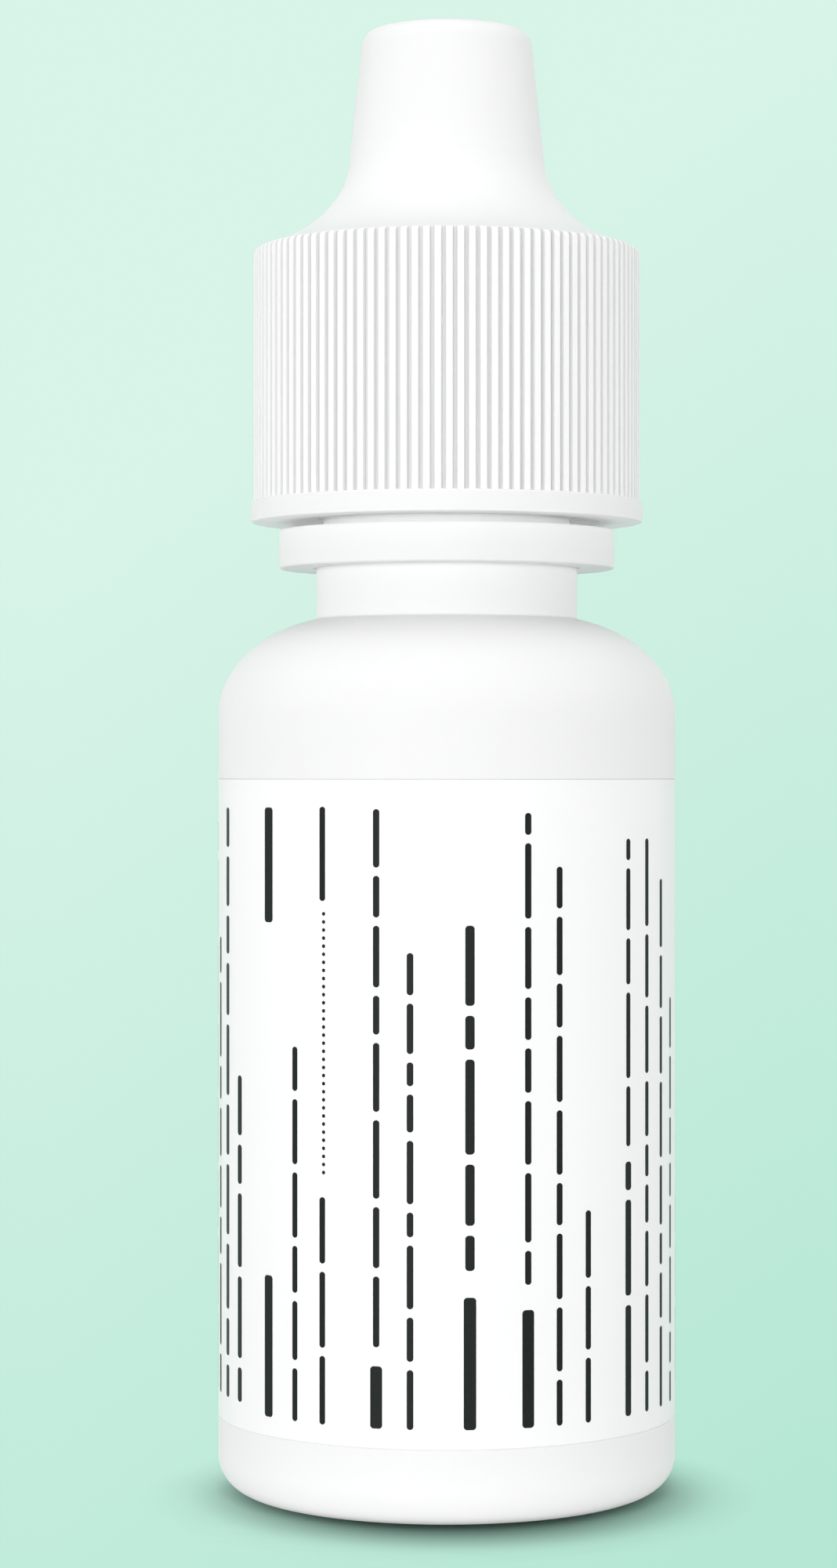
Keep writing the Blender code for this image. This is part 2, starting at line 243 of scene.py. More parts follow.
def bottlePaths(s):
    # Outside from the middle of the base to the top of the bead, then the threaded finish, then the
    # mouth and the inside down to the middle of the floor.
    centre = (s["shoulderCentre"], s["shoulderStart"])
    ringOuter = s["radius"] - s["corner"]
    beadTop = s["beadBase"] + s["beadHeight"]
    finishBase = beadTop + s["aboveBead"]
    finishTop = s["mouth"] - 2 * s["mouthEdge"]
    foot = roundedPath([
        (0, s["recess"] + s["gateDepth"], 0),
        (s["gateRadius"], s["recess"] + s["gateDepth"], 0.15),
        (s["gateRadius"] + s["gateDepth"], s["recess"], 0.1),
        (s["ringInner"] - s["recessSlope"], s["recess"], 0.5),
        (s["ringInner"], 0, 0.25),
        (ringOuter, 0, 0),
    ])
    corner = ellipsePath((ringOuter, s["corner"]), s["corner"], s["corner"], -90, 0, steps=20)
    panel = roundedPath([
        (s["radius"], s["corner"], 0),
        (s["radius"], s["panelBase"] - s["panelEdge"], 0.03),
        (s["panelRadius"], s["panelBase"], 0.03),
        (s["panelRadius"], s["panelTop"], 0.03),
        (s["radius"], s["panelTop"] + s["panelEdge"], 0.03),
        (s["radius"], s["shoulderStart"], 0),
    ], steps=3)
    shoulder = ellipsePath(centre, s["shoulderReach"], s["shoulderRise"], 0, s["shoulderEnd"],
                           steps=40)
    neck = roundedPath([
        (*shoulder[-1], 0),
        (s["neckRadius"], s["neckJoint"], 0.14),
        (s["neckRadius"], s["seat"], 0.1),
        (s["finishRadius"], s["seat"], 0.08),
        (s["finishRadius"], s["beadBase"], 0.08),
        (s["beadRadius"], s["beadBase"] + s["beadHeight"] / 3, 0.1),
        (s["beadRadius"], beadTop - s["beadHeight"] / 3, 0.1),
        (s["finishRadius"], beadTop, 0.08),
        (s["finishRadius"], finishBase, 0),
    ])
    neckFinish = [(s["finishRadius"], finishBase), (s["finishRadius"], finishTop)]
    boreFoot = s["shoulderStart"] + s["shoulderRise"] - s["wall"]
    mouth = roundedPath([
        (s["finishRadius"], finishTop, 0),
        (s["finishRadius"], s["mouth"], s["mouthEdge"]),
        (s["boreRadius"], s["mouth"], 0.12),
        (s["boreRadius"], boreFoot, 0),
    ])
    innerReach = s["innerRadius"] - s["shoulderCentre"]
    innerShoulder = ellipsePath(centre, innerReach, s["shoulderRise"] - s["wall"], 90, 0, steps=24)
    innerCentre = (s["innerRadius"] - s["corner"], s["innerFloor"] + s["corner"])
    innerCorner = ellipsePath(innerCentre, s["corner"], s["corner"], 0, -90, steps=10)
    spacing = s["rowSpacing"]
    outside = refinedPath(joinedPath(foot, corner, panel, shoulder, neck), spacing)
    threaded = refinedPath(neckFinish, s["threadRowSpacing"])
    innerWall = refinedPath([innerShoulder[-1], innerCorner[0]], spacing)
    innerBase = refinedPath([innerCorner[-1], (0, s["innerFloor"])], spacing)
    mouth = refinedPath(mouth, spacing)
    inside = joinedPath(mouth, innerShoulder, innerWall, innerCorner, innerBase)
    return outside, threaded, inside


def fromParting(angle):
    # The turn from the nearer of the two parting lines, at the left and right.
    return np.abs((angle + math.pi / 2) % math.pi - math.pi / 2)


def makeBottle():
    # The paths turned about the axis, on columns that stand closer together at the parting lines.
    s = bottleSizes
    ridge = np.linspace(-s["ridgeReach"], s["ridgeReach"], s["ridgeColumns"])
    ridge = ridge * s["partingWidth"] / s["radius"]
    spread = evenAngles(s["columns"])
    spread = spread[fromParting(spread) > s["ridgeClear"]]
    angles = np.sort(np.concatenate([spread, ridge % (2 * math.pi), ridge + math.pi]))
    outside, threaded, inside = bottlePaths(s)
    path = joinedPath(outside, threaded, inside)
    outerRows = len(outside) + len(threaded) - 3    # less the pole and the two shared rows
    beadTop = s["beadBase"] + s["beadHeight"]

    def outwards(angle, height):
        # The thread, and a low ridge 1 - |x| along the line where the two halves of the mould met.
        outer = (np.arange(len(height)) < outerRows)[:, None]
        thread = threadHeight(angle, height, s["thread"]) * (outer & (height > beadTop))
        fromLine = fromParting(angle) * s["radius"]
        onBody = outer & (height > s["partingBase"]) & (height < s["neckJoint"])
        ridgeShape = np.clip(1 - fromLine / s["partingWidth"], 0, 1)
        return thread + onBody * s["partingHeight"] * ridgeShape

    rings = turnedPoints(path[1:-1], angles, outwards)
    rows, columns = rings.shape[:2]
    firstRing = np.arange(columns)
    points = np.concatenate([rings.reshape(-1, 3), [[0, 0, path[0, 1]], [0, 0, path[-1, 1]]]])
    # Painted light: the neck by the seat and the bead, in the shade of the gap under the cap, is
    # painted whiter.
    level = path[1:-1, 1]
    fade = s["coveredFade"]
    covered = (softStep((level - s["seat"] - s["coveredFrom"]) / fade)
               * softStep((beadTop + s["coveredTo"] + fade - level) / fade))
    bottle = meshFrom("bottleShell", points, gridFaces(rows, columns),
                      poleFaces(rows * columns, firstRing, False),
                      poleFaces(rows * columns + 1, firstRing + (rows - 1) * columns, True),
                      shares={"covered": np.append(np.repeat(covered, columns), [0, 0])})
    place(bottle, "bottle", "bottle")
    return bottle


bottle = makeBottle()

# The label, a thin sheet whose two ends leave a seam's width bare at the back.
labelSizes = {
    "inner": 12.385,
    "outer": 12.465,
    "base": 4.2,
    "top": 38.7,
    "seamGap": 1.0,
    "cornerRadius": 1.3,
    "columns": 200,
    "cornerColumns": 9,
    "rows": 9,
}


def makeLabel():
    # point(u, v) lies on a cylinder, u along it from the seam and v from the lower to the upper
    # edge. Near an end the edges draw in by c - sqrt(c^2 - (c - u)^2), so the sheet's corners are
    # round.
    s = labelSizes
    length = 2 * math.pi * s["outer"] - s["seamGap"]
    c = s["cornerRadius"]
    nearEnd = c * (1 - np.cos(np.linspace(0, math.pi / 2, s["cornerColumns"])))
    between = np.linspace(c, length - c, s["columns"])[1:-1]
    u = np.concatenate([nearEnd, between, length - nearEnd[::-1]])
    fromEnd = np.minimum(np.minimum(u, length - u), c)
    drawnIn = (c - np.sqrt(c * c - (c - fromEnd) ** 2))[:, None]
    v = np.linspace(0, 1, s["rows"])[None, :]
    height = s["base"] + drawnIn + (s["top"] - s["base"] - 2 * drawnIn) * v
    angle = (math.pi / 2 + (u + s["seamGap"] / 2) / s["outer"])[:, None] + 0 * v
    across = np.stack([np.cos(angle), np.sin(angle), 0 * angle], axis=-1)
    upright = height[..., None] * np.array([0, 0, 1])
    outerFace = s["outer"] * across + upright
    innerFace = s["inner"] * across + upright
    # Each section runs up the outside and down the inside.
    section = np.concatenate([outerFace, innerFace[:, ::-1]], axis=1)
    count, loop = section.shape[:2]
    up = np.arange(loop // 2)
    end = np.stack([up[:-1], up[1:], loop - 2 - up[:-1], loop - 1 - up[:-1]], axis=-1)
    label = meshFrom("labelSheet", section, gridFaces(count, loop)[:, ::-1],
                     end, end[:, ::-1] + (count - 1) * loop)
    place(label, "bottle", "label")
    return label


label = makeLabel()

# The print: plain bars in rows up the label, and a leader, which is a row of dots.
printSizes = {
    "proud": 0.004,
    "foot": 12.44,              # radius of the bars' inner faces, within the film
    "corner": 0.2,
    "faceCorners": 12,
    "seed": 11,
    "leastShare": 0.6,          # of its row's shortest, for a bar that the row's head cuts off
    "leastLength": 0.84,
    "leader": {"around": -6.72, "from": 18.3, "to": 32.1, "pitch": 0.42, "size": 0.2},
    # Each row: place round the label from the front, bar width, foot, head, shortest bar, longest
    # bar, gap.
    "rows": [
        (-35.6, 1.5, 6.4, 24.0, 8.0, 12.0, 1.3),
        (-35.6, 0.5, 25.6, 36.4, 2.4, 4.0, 0.5),
        (-32.4, 0.5, 6.4, 36.4, 2.2, 4.0, 0.5),
        (-30.4, 0.36, 6.4, 29.0, 1.6, 4.2, 0.42),
        (-28.6, 0.36, 6.4, 33.4, 1.6, 4.2, 0.42),
        (-26.8, 0.36, 6.4, 21.0, 1.6, 4.2, 0.42),
        (-23.8, 0.36, 6.4, 36.2, 1.4, 4.4, 0.42),
        (-22.0, 0.36, 6.4, 31.5, 1.4, 4.4, 0.42),
        (-18.9, 0.5, 5.6, 36.4, 1.6, 4.4, 0.5),
        (-17.1, 0.5, 5.6, 30.2, 1.6, 4.4, 0.5),
        (-15.3, 0.5, 5.6, 37.2, 1.6, 5.0, 0.5),
        (-13.5, 0.5, 5.6, 23.0, 1.6, 5.0, 0.5),
        (-10.6, 0.66, 5.2, 13.0, 7.4, 7.6, 0.6),
        (-10.6, 0.66, 31.2, 37.4, 6.0, 6.2, 0.6),
        (-8.6, 0.36, 5.2, 25.8, 1.6, 4.6, 0.42),
        (-6.8, 0.36, 5.2, 17.6, 1.8, 5.0, 0.42),
        (-6.8, 0.36, 32.4, 37.4, 4.8, 5.0, 0.42),
        (-3.7, 0.66, 5.2, 8.6, 3.2, 3.4, 0.6),
        (-3.7, 0.36, 9.4, 37.2, 1.0, 4.4, 0.42),
        (-1.9, 0.36, 5.2, 30.4, 1.0, 3.6, 0.42),
        (1.2, 0.66, 5.2, 12.4, 6.8, 7.0, 0.6),
        (1.2, 0.5, 13.4, 31.2, 1.6, 5.0, 0.5),
        (4.3, 0.66, 5.2, 11.6, 6.0, 6.2, 0.6),
        (4.3, 0.36, 12.6, 37.0, 1.0, 4.0, 0.42),
        (6.1, 0.36, 5.2, 34.2, 1.4, 3.6, 0.42),
        (7.9, 0.36, 5.2, 16.4, 1.4, 3.6, 0.42),
        (10.9, 0.5, 5.2, 18.6, 4.4, 6.4, 0.5),
        (10.9, 0.36, 19.4, 35.6, 2.0, 4.6, 0.42),
        (12.7, 0.36, 5.2, 36.8, 1.6, 5.0, 0.42),
        (14.5, 0.36, 5.2, 33.4, 1.6, 5.0, 0.42),
        (16.3, 0.36, 5.2, 27.4, 1.6, 5.0, 0.42),
        (19.3, 0.5, 5.8, 16.0, 3.0, 5.0, 0.5),
        (21.1, 0.36, 5.8, 35.4, 1.6, 5.0, 0.42),
        (22.9, 0.36, 5.8, 33.2, 1.6, 5.0, 0.42),
        (24.7, 0.36, 5.8, 18.2, 1.6, 5.0, 0.42),
        (28.2, 1.5, 6.4, 30.2, 7.0, 11.0, 1.3),
        (31.4, 0.5, 6.4, 35.0, 2.2, 4.0, 0.5),
        (33.4, 0.36, 6.4, 35.0, 1.6, 4.2, 0.42),
        (35.2, 0.36, 6.4, 26.0, 1.6, 4.2, 0.42),
    ],
}


def barsOfRow(s, row, draw):
    # Bars of drawn lengths and even gaps from the row's foot until its head is reached.
    around, width, foot, head, shortest, longest, gap = row
    count = math.ceil((head - foot) / (shortest + gap)) + 1
    lengths = draw.uniform(shortest, longest, count)
    starts = foot + np.cumsum(lengths + gap) - lengths - gap
    lengths = np.minimum(lengths, head - starts)
    keep = lengths > min(s["leastShare"] * shortest, s["leastLength"])
    middle, lengths = (starts + lengths / 2)[keep], lengths[keep]
    return np.stack([np.full_like(middle, around), middle, np.full_like(middle, width), lengths],
                    axis=1)


def makePrint():
    # Each bar is a thin slab with a rounded rectangle for its face: corner centre
    # + c (cos t, sin t). The face stands out by w^2 / 8r, by which the film bulges behind it.
    s = printSizes
    leader = s["leader"]
    corners = s["faceCorners"]
    filmRadius = labelSizes["outer"]
    draw = np.random.default_rng(s["seed"])
    bars = [barsOfRow(s, row, draw) for row in s["rows"]]
    dots = np.arange(leader["from"], leader["to"], leader["pitch"])
    dotSize = np.full_like(dots, leader["size"])
    bars.append(np.stack([np.full_like(dots, leader["around"]), dots, dotSize, dotSize], axis=1))
    around, middle, width, length = np.concatenate(bars).T[:, :, None]
    turn = np.radians((np.arange(corners) + 0.5) * 360 / corners)
    c = np.minimum(s["corner"], np.minimum(width, length) / 2)
    sideways = np.sign(np.cos(turn)) * (width / 2 - c) + c * np.cos(turn)
    upwards = np.sign(np.sin(turn)) * (length / 2 - c) + c * np.sin(turn)
    angle = -math.pi / 2 + (around + sideways) / filmRadius
    faceRadius = filmRadius + s["proud"] + width ** 2 / (8 * filmRadius)
    rings = [np.stack([r * np.cos(angle), r * np.sin(angle), middle + upwards], axis=-1)
             for r in (s["foot"], faceRadius)]
    points = np.stack(rings, axis=1)
    count = len(points)
    loops = np.arange(count * 2 * corners).reshape(count, 2, corners)
    foot, face = loops[:, 0], loops[:, 1]
    sides = np.stack([foot, np.roll(foot, -1, axis=1), np.roll(face, -1, axis=1), face], axis=-1)
    ink = meshFrom("labelPrint", points, sides.reshape(-1, 4), face, foot[:, ::-1])
    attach(ink, "bottle")
    return ink


ink = makePrint()

# The loose ring on the neck, below the cap.
collarSizes = {
    "base": 50.179,
    "top": 52.269,
    "skirtBore": 7.29,
    "outer": 9.17,
    "lipBase": 50.879,
    "lipTop": 51.579,
    "lipBore": 6.9,
    "relief": 0.45,
    "edge": 0.16,
    # The collar's top and bore are painted whiter against the shade in the gap under the cap.
    "coveredEdge": 0.05,        # below the top
    "columns": 224,
    "rowSpacing": 1.0,
}


def makeCollar():
    # A closed path turned about the axis, up the outside and down the bore.
    s = collarSizes
    middle = (s["skirtBore"], (s["base"] + s["lipBase"]) / 2, 0)
    path = roundedPath([
        middle,
        (s["skirtBore"], s["base"], 0.1),
        (s["outer"], s["base"], s["edge"]),
        (s["outer"], s["top"], s["edge"]),
        (s["lipBore"] + s["relief"], s["top"], 0.1),
        (s["lipBore"], s["lipTop"], 0.12),
        (s["lipBore"], s["lipBase"], 0.1),
        (s["skirtBore"], s["lipBase"], 0.08),
        middle,
    ])
    path = refinedPath(joinedPath(path), s["rowSpacing"])[:-1]
    rings = turnedPoints(path, evenAngles(s["columns"]))
    # Painted light: the top and the bore, in the shade under the cap, are painted whiter.
    covered = (path[:, 1] > s["top"] - s["coveredEdge"]) | (path[:, 0] < s["lipBore"] + s["relief"])
    collar = meshFrom("collarRing", rings, gridFaces(*rings.shape[:2], rowsClose=True),
                      shares={"covered": np.repeat(covered, s["columns"])})
    place(collar, "collar", "collar")
    return collar


collar = makeCollar()

# The plug-in dropper tip.
tipSizes = {
    "wellRadius": 4.28,
    "plugRadius": 5.18,
    "plugBase": 57.579,
    "plugLeadIn": 0.5,
    "flangeBase": 63.779,
    "flangeTop": 64.979,
    "flangeRadius": 6.6,
    "flangeEdge": 0.2,
    "rootRadius": 3.9,
    "fillet": 0.8,
    "tipRadius": 2.4,
    "tipEdge": 0.45,
    "top": 76.979,
    "exitRadius": 1.3,
    "exitDepth": 1.45,
    "holeRadius": 0.35,
    "holeLength": 1.0,
    "wellNeckRadius": 1.2,
    "wellTaper": 1.2,
    "nozzleWall": 1.0,
    "columns": 128,
    "rowSpacing": 1.5,
}


def makeDropperTip():
    # A closed path turned about the axis: plug, flange and nozzle outside, then exit, hole and
    # well.
    s = tipSizes
    exitBase = s["top"] - s["exitDepth"]
    holeBase = exitBase - s["holeLength"]
    middle = (s["wellRadius"], (s["plugBase"] + s["flangeBase"]) / 2, 0)
    path = roundedPath([
        middle,
        (s["wellRadius"], s["plugBase"], 0.15),
        (s["plugRadius"] - s["plugLeadIn"] / 2, s["plugBase"], 0.1),
        (s["plugRadius"], s["plugBase"] + s["plugLeadIn"], 0.2),
        (s["plugRadius"], s["flangeBase"], 0.08),
        (s["flangeRadius"], s["flangeBase"], 0.12),
        (s["flangeRadius"], s["flangeTop"], s["flangeEdge"]),
        (s["rootRadius"], s["flangeTop"], s["fillet"]),
        (s["tipRadius"], s["top"], s["tipEdge"]),
        (s["exitRadius"], s["top"], 0.12),
        (s["holeRadius"], exitBase, 0.12),
        (s["holeRadius"], holeBase, 0.1),
        (s["wellNeckRadius"], holeBase - s["wellTaper"], 0.3),
        (s["rootRadius"] - s["nozzleWall"], s["flangeTop"], 0.5),
        (s["wellRadius"], s["flangeBase"], 0.5),
        middle,
    ])
    path = refinedPath(joinedPath(path), s["rowSpacing"])[:-1]
    rings = turnedPoints(path, evenAngles(s["columns"]))
    tip = meshFrom("dropperNozzle", rings, gridFaces(*rings.shape[:2], rowsClose=True))
    place(tip, "bottle", "dropper_tip")
    return tip


tip = makeDropperTip()

# The cap: ribbed skirt, flared shoulder and nozzle-shaped top, with the seal pin and thread inside.
capSizes = {
    "base": 52.709,
    "top": 79.588,
    "ribs": 110,
    "ribStart": -0.27,
    "ribDepth": 0.24,
    "ribBase": 53.859,
    "ribTop": 67.229,
    "ribRadius": 10.55,
    "ribHead": 0.22,            # height in which the crests round over
    # Grooves at least this deep take the painted shade, and the crests between them the painted
    # highlight.
    "ribbedFrom": 0.02,         # least depth of a groove that is shaded
    "rimRadius": 10.70,
    "rimEdge": 0.14,
    "rimLedge": 0.02,           # from the rim's ledge to the crests
    "shoulderRadius": 10.25,
    "shoulderLevel": 67.599,
    "flareRise": 5.54,
    "flareEndShare": 0.38,
    "coneRoot": 5.31,
    "coneTop": 4.56,
    "topEdge": 0.9,
    "gateRadius": 0.7,
    "gateDepth": 0.12,
    "wall": 1.2,
    "boreRadius": 7.96,
    "leadIn": 0.4,
    "mouthFlat": 0.2,
    # The cap's underside and inside are painted whiter against the shade in the gap.
    "coveredEdge": 0.1,         # above the base
    "ceiling": 78.389,
    "pinRadius": 1.15,
    "pinShoulder": 76.979,
    "pinEnd": 76.08,
    "pinEndRadius": 0.561,
    # Eight columns for each rib, as shares of its pitch from the crest's middle, with how deep each
    # is and how much of the grooves' painted shade it takes.
    "ribColumns": {
        "share": (0, 0.26, 0.305, 0.395, 0.5, 0.605, 0.695, 0.74),
        "depth": (0, 0, 0.12, 1, 1, 1, 0.12, 0),
        "shade": (0, 0, 0.8, 1, 1, 1, 0.8, 0),
    },
    "rowSpacing": 5.0,
    "innerRowSpacing": 3.0,
    "threadRowSpacing": 0.13,
    "aboveThread": 1.0,         # where the thread's close rows end
    "thread": {
        "base": 55.049,
        "lead": 3.0,
        "turns": 1.515,
        "height": 0.95,
        "halfRoot": 0.84,
        "halfCrest": 0.39,
        "runIn": 0.12,
    },
}


def capPaths(s, threadTop):
    # Inside from the end of the pin to the mouth, then outside from the mouth to the foot of the
    # ribs, and from there to the middle of the top.
    flareReach = (s["shoulderRadius"] - s["coneRoot"]) / (1 - s["flareEndShare"])
    meetAngle = math.acos(s["flareEndShare"])
    centre = (s["coneRoot"] + flareReach, s["shoulderLevel"] + s["flareRise"] * math.sin(meetAngle))
    innerReach = flareReach + s["wall"]
    boreAngle = math.degrees(math.acos((centre[0] - s["boreRadius"]) / innerReach))
    innerFlare = ellipsePath(centre, innerReach, s["flareRise"] + s["wall"], 180, 180 + boreAngle,
                             steps=14)
    pin = roundedPath([
        (0, s["pinEnd"], 0),
        (s["pinEndRadius"], s["pinEnd"], 0.1),
        (s["pinRadius"], s["pinShoulder"], 0.1),
        (s["pinRadius"], s["ceiling"], 0.15),
        (s["coneTop"] - s["wall"], s["ceiling"], 0.3),
        (*innerFlare[0], 0),
    ], steps=4)
    mouthTop = s["base"] + 3 * s["leadIn"]
    bore = [innerFlare[-1], (s["boreRadius"], threadTop)]
    threaded = [(s["boreRadius"], threadTop), (s["boreRadius"], mouthTop)]
    mouth = roundedPath([
        (s["boreRadius"], mouthTop, 0),
        (s["boreRadius"], s["base"] + s["leadIn"], 0.1),
        (s["boreRadius"] + s["leadIn"], s["base"], 0.1),
        (s["boreRadius"] + s["leadIn"] + s["mouthFlat"], s["base"], 0),
    ], steps=3)
    inside = joinedPath(refinedPath(pin, s["innerRowSpacing"]), innerFlare,
                        refinedPath(bore, s["innerRowSpacing"]),
                        refinedPath(threaded, s["threadRowSpacing"]), mouth)
    rim = roundedPath([
        (s["boreRadius"] + 2 * s["leadIn"], s["base"], 0),
        (s["rimRadius"], s["base"], s["rimEdge"]),
        (s["rimRadius"], s["ribBase"], s["rimEdge"]),
        (s["ribRadius"] + s["rimLedge"], s["ribBase"], 0),
    ], steps=4)
    flareEnd = 180 + math.degrees(meetAngle)
    flare = ellipsePath(centre, flareReach, s["flareRise"], flareEnd, 180, steps=24)
    ribs = [(s["ribRadius"], s["ribBase"]), (s["ribRadius"], s["ribTop"])]
    heads = roundedPath([
        (s["ribRadius"], s["ribTop"], 0),
        (s["ribRadius"], s["ribTop"] + s["ribHead"], 0.18),
        (*flare[0], 0.08),
        (*flare[1], 0),
    ], steps=4)
    gateEdge = s["gateRadius"] + s["gateDepth"]
    crown = roundedPath([
        (s["coneRoot"], centre[1], 0),
        (s["coneTop"], s["top"], s["topEdge"]),
        (2 * gateEdge, s["top"], 0),
    ], steps=8)
    gate = roundedPath([
        (2 * gateEdge, s["top"], 0),
        (gateEdge, s["top"], 0.08),
        (s["gateRadius"], s["top"] - s["gateDepth"], 0.08),
        (0, s["top"] - s["gateDepth"], 0),
    ], steps=3)
    rim = refinedPath(joinedPath(rim), s["rowSpacing"])
    ribs = refinedPath(ribs, s["rowSpacing"])
    crown = refinedPath(joinedPath(crown, gate), s["rowSpacing"])
    return inside, rim, joinedPath(ribs, heads, flare[1:], crown)


def makeCap(slack=0.01):
    # The paths turned about the axis, with the thread inside and grooves between the ribs outside.
    s = capSizes
    thread = s["thread"]
    columns = s["ribColumns"]
    pitches = np.arange(s["ribs"])[:, None] + s["ribStart"] + np.array(columns["share"])
    fineAngles = (pitches * 2 * math.pi / s["ribs"]).ravel()
    depth = np.tile(columns["depth"], s["ribs"])
    shade = np.tile(columns["shade"], s["ribs"])
    threadTop = thread["base"] + thread["lead"] * thread["turns"] + s["aboveThread"]
    inside, rim, upper = capPaths(s, threadTop)

    # Inside, on a quarter of the columns: radius less the height of the thread.
    coarseAngles = fineAngles[::4]
    onBore = (inside[1:, :1] > s["boreRadius"] - slack) & (inside[1:, 1:] < threadTop)
    innerRings = turnedPoints(inside[1:], coarseAngles, lambda angle, height: (
        -1.0 * onBore * threadHeight(angle, height, thread)))

    # Outside: the grooves cut in to one radius, from the rim's ledge until they run out on the
    # shoulder.
    outerPath = np.concatenate([rim, upper[:-1]])
    cut = np.clip(outerPath[:, :1] - (s["ribRadius"] - s["ribDepth"]), 0, s["ribDepth"])
    cut[:len(rim)] = 0
    outerRings = turnedPoints(outerPath, fineAngles, lambda angle, height: -cut * depth)

    innerRows, coarse = innerRings.shape[:2]
    outerRows, fine = outerRings.shape[:2]
    outerStart = innerRows * coarse
    poles = outerStart + outerRows * fine
    points = np.concatenate([innerRings.reshape(-1, 3), outerRings.reshape(-1, 3),
                             [[0, 0, inside[0, 1]], [0, 0, upper[-1, 1]]]])
    ribbed = cut > s["ribbedFrom"]
    # Painted shade: the grooves are painted darker.
    groove = np.concatenate([np.zeros(outerStart), (ribbed * shade).ravel(), [0, 0]])
    # Painted highlight: the crests are painted whiter.
    crest = np.concatenate([np.zeros(outerStart), (ribbed * (1 - shade)).ravel(), [0, 0]])
    # Painted light: the underside and the whole inside, in the shade of the gap, are painted
    # whiter.
    underside = outerPath[:, 1] < s["base"] + s["coveredEdge"]
    covered = np.concatenate([np.ones(outerStart), np.repeat(underside, fine), [1, 0]])
    lastInner = np.arange(outerStart - coarse, outerStart)
    firstOuter = np.arange(outerStart, outerStart + fine)
    cap = meshFrom("screwCap", points,
                   gridFaces(innerRows, coarse),
                   gridFaces(outerRows, fine, outerStart),
                   stepFaces(lastInner, firstOuter),
                   poleFaces(poles, np.arange(coarse), False),
                   poleFaces(poles + 1, np.arange(poles - fine, poles), True),
                   shares={"groove": groove, "crest": crest, "covered": covered})
    place(cap, "cap", "cap")
    return cap


cap = makeCap()


class Socket:
    # A number in a material. + - * on it add Math nodes, with plain numbers on either side too.
    def __init__(self, nodes, output):
        self.nodes = nodes
        self.output = output

    def __add__(self, other):
        return self.nodes.maths("ADD", self, other)

    def __sub__(self, other):
        return self.nodes.maths("SUBTRACT", self, other)

    def __rsub__(self, other):
        return self.nodes.maths("SUBTRACT", other, self)

    def __mul__(self, other):
        return self.nodes.maths("MULTIPLY", self, other)

    __radd__ = __add__
    __rmul__ = __mul__


class Nodes:
    # The nodes of a material or of the world.
    def __init__(self, tree):
        self.tree = tree
        tree.nodes.clear()

    def add(self, kind, settings=None, inputs=None, output=0):
        # Settings first, then the inputs by place or name. The output comes back as a Socket.
        node = self.tree.nodes.new(kind)
        for key, value in (settings or {}).items():
            setattr(node, key, value)
        for key, value in (inputs or {}).items():
            socket = node.inputs[key]
            if isinstance(value, Socket):
                self.tree.links.new(value.output, socket)
            else:
                socket.default_value = (*value, 1) if socket.type == "RGBA" else value
        return Socket(self, node.outputs[output]) if len(node.outputs) else None

    def maths(self, operation, *values):
        return self.add("ShaderNodeMath", {"operation": operation}, dict(enumerate(values)))

    def vectorMaths(self, operation, *values, output=0):
        inputs = dict(enumerate(values))
        return self.add("ShaderNodeVectorMath", {"operation": operation}, inputs, output)

    def objectPlace(self):
        return self.add("ShaderNodeTexCoord", output="Object")

    def noise(self, size, detail=2.0, roughness=0.5, stretch=(1, 1, 1)):
        # Noise whose lumps are about size millimetres across.
        return self.add("ShaderNodeTexNoise", {}, {
            "Vector": self.vectorMaths("MULTIPLY", self.objectPlace(), stretch),
            "Scale": 1 / (size * metresPerMillimetre),
            "Detail": detail,
            "Roughness": roughness,
        })

    def mixed(self, share, first, second):
        inputs = {0: share, 6: first, 7: second}
        return self.add("ShaderNodeMix", {"data_type": "RGBA"}, inputs, output=2)

    def ramp(self, value, low, high, lowResult=0.0, highResult=1.0, kind="SMOOTHSTEP"):
        # From lowResult to highResult as the value goes from low to high, and level past them.
        return self.add("ShaderNodeMapRange", {"interpolation_type": kind},
                        {0: value, 1: low, 2: high, 3: lowResult, 4: highResult})

    def bump(self, height, depth):
        # A normal for a height from 0 to 1 that stands depth millimetres.
        inputs = {"Height": height, "Distance": depth * metresPerMillimetre}
        return self.add("ShaderNodeBump", {}, inputs, output="Normal")


def newMaterial(name):
    material = bpy.data.materials.new(name)
    material.use_nodes = True
    return material, Nodes(material.node_tree)


def dress(piece, material):
    piece.data.materials.clear()
    piece.data.materials.append(material)


def setFinish(piece, name, pattern, look):
    # The pattern gives colour, gloss, relief and its depth. The roughness runs with the gloss, half
    # its spread to either side.
    material, nodes = newMaterial(name)
    colour, gloss, relief, depth = pattern(nodes, look)
    shader = nodes.add("ShaderNodeBsdfPrincipled", {}, {
        "Base Color": colour,
        "Roughness": gloss * look["glossSpread"] + (look["roughness"] - look["glossSpread"] / 2),
        "Normal": nodes.bump(relief, depth),
        "IOR": look["ior"],
        "Specular IOR Level": look["shine"],
    })
    nodes.add("ShaderNodeOutputMaterial", {}, {"Surface": shader})
    dress(piece, material)


